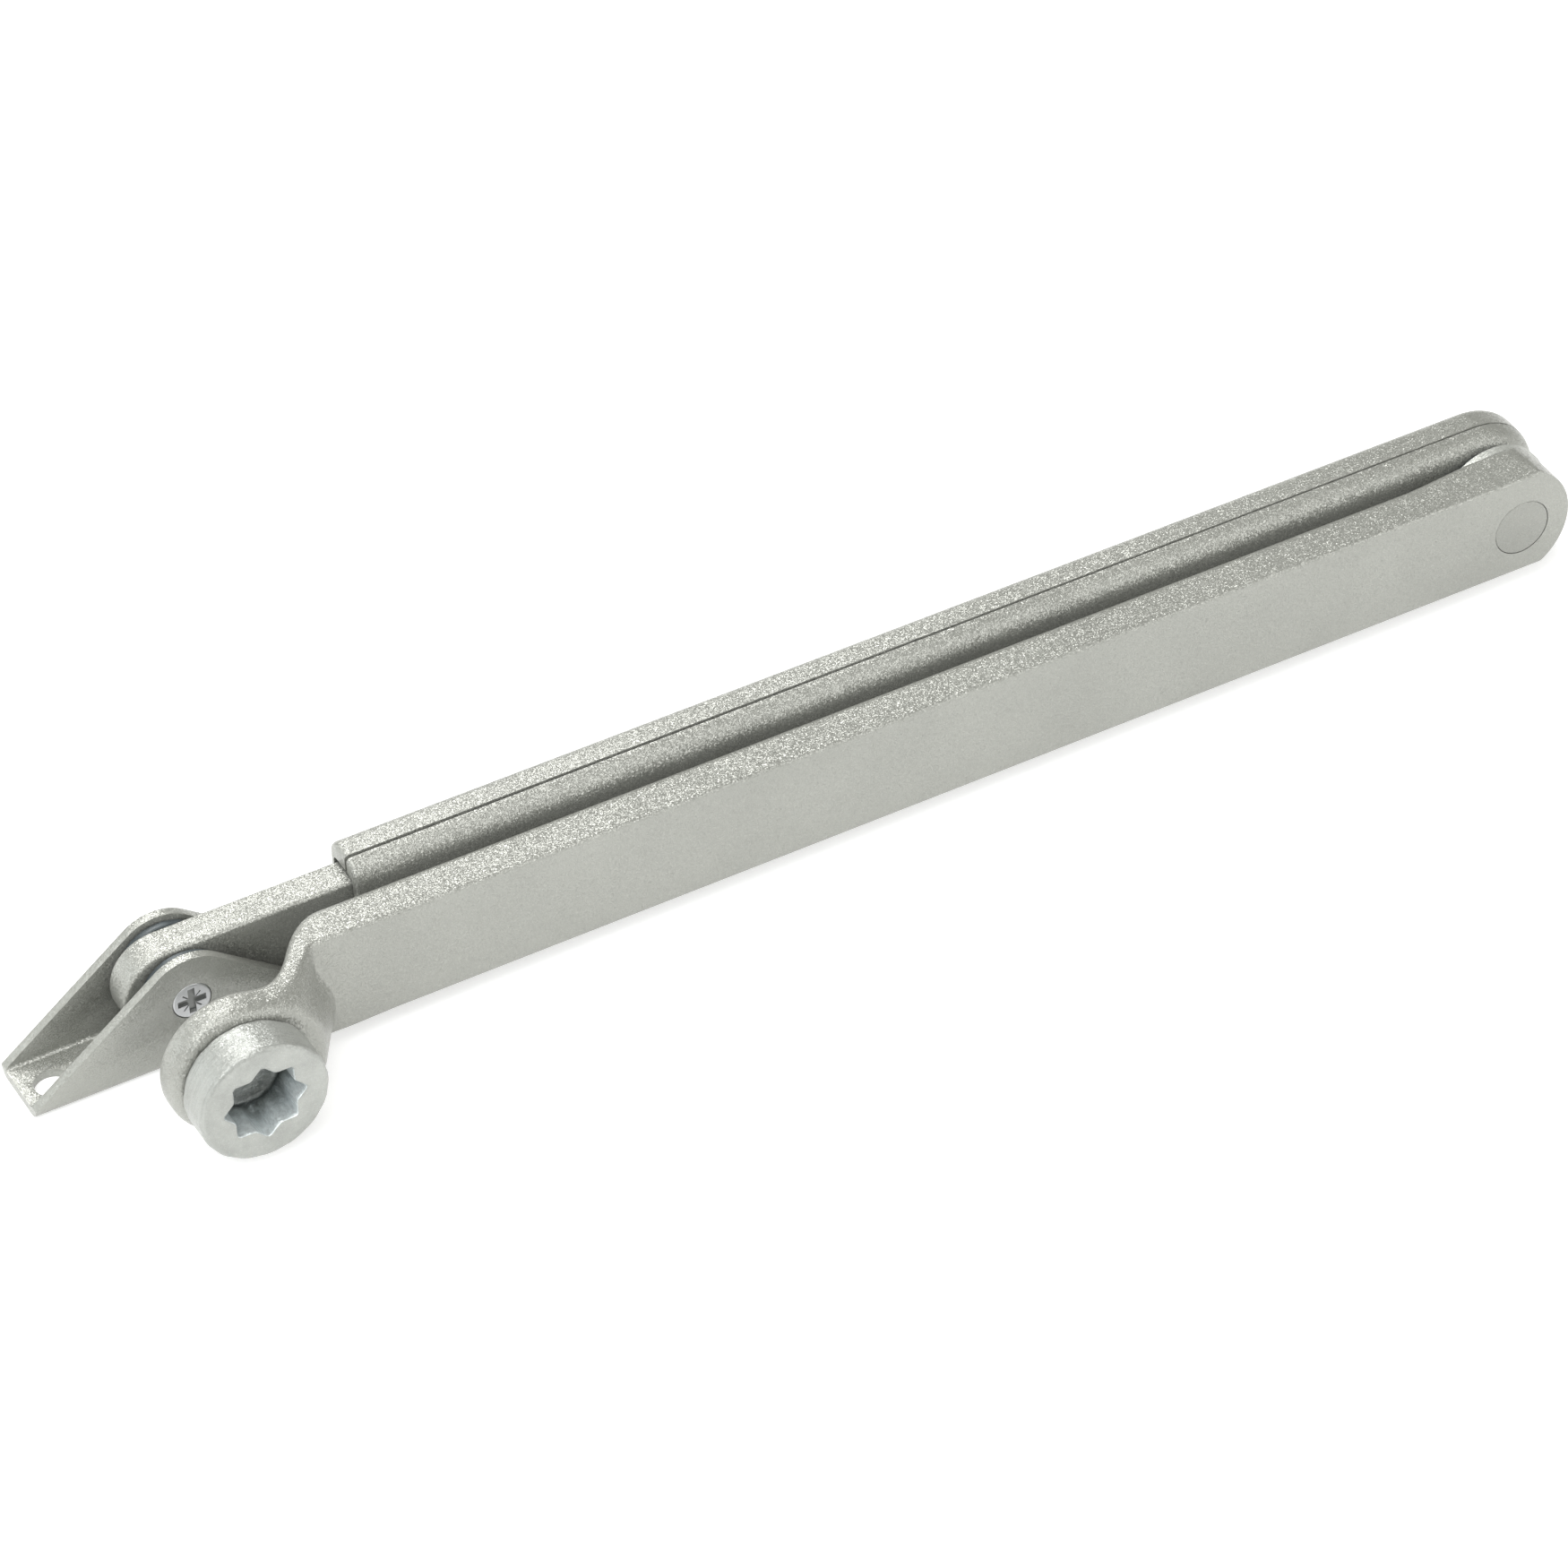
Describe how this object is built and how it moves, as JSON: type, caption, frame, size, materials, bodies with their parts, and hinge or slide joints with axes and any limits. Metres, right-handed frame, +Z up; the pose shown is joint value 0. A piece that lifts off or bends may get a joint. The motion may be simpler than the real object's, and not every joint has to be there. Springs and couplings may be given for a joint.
{
  "type": "door closer link arm",
  "caption": "Folded link arm of an overhead door closer: cranked main arm with a star socket hub, riveted elbow, sleeve with a sliding rod, and a pivoting fixing shoe.",
  "frame": {"origin": "centre of the spindle socket's mouth, on the hub's front face", "axes": "+X along the folded arms from the spindle to the elbow; +Y along the spindle axis, from the socket's mouth into the arm; +Z up, away from the shoe's base plate"},
  "size_m": [0.275, 0.0435, 0.0249],
  "materials": {
    "arm_paint": "silver metallic paint, fine sparkle",
    "sleeve_paint": "silver metallic paint, fine sparkle",
    "rod_paint": "silver metallic paint, smoother",
    "shoe_paint": "silver metallic paint on sheet steel",
    "pin_paint": "silver metallic paint over the rivet's end",
    "hub_steel": "turned steel, fine circular tool marks",
    "zinc_steel": "bright zinc plate",
    "spacer_steel": "turned steel, painted over",
    "dark_washer": "dark slate, satin",
    "bearing_bronze": "plain sintered bronze",
    "black_screw": "black oxide"
  },
  "bodies": {
    "arm": {"main_arm": "arm_paint", "spindle_hub": "hub_steel", "elbow_pin": "pin_paint", "elbow_spacer": "spacer_steel", "elbow_washer": "dark_washer", "elbow_rear_washer": "dark_washer"},
    "sleeve": {"forearm_sleeve": "sleeve_paint", "elbow_bearing": "bearing_bronze", "clamp_bush": "zinc_steel", "clamp_screw": "black_screw"},
    "rod": {"forearm_rod": "rod_paint", "pivot_bush": "bearing_bronze", "pivot_front_washer": "dark_washer", "pivot_rear_washer": "dark_washer"},
    "shoe": {"shoe_bracket": "shoe_paint", "pivot_screw": "zinc_steel", "pivot_nut": "zinc_steel"}
  },
  "joints": [
    {"name": "elbow", "type": "hinge", "parent": "arm", "child": "sleeve", "pos_m": [0.237, 0.03385, 0], "axis": [0, 1, 0], "continuous": true},
    {"name": "rod_slide", "type": "slide", "parent": "sleeve", "child": "rod", "axis": [-1, 0, 0], "range_m": [0, 0.08]},
    {"name": "shoe_pivot", "type": "hinge", "parent": "rod", "child": "shoe", "pos_m": [0.0005, 0.03385, -0.0008], "axis": [0, 1, 0], "range_deg": [-3, 183]}
  ]
}
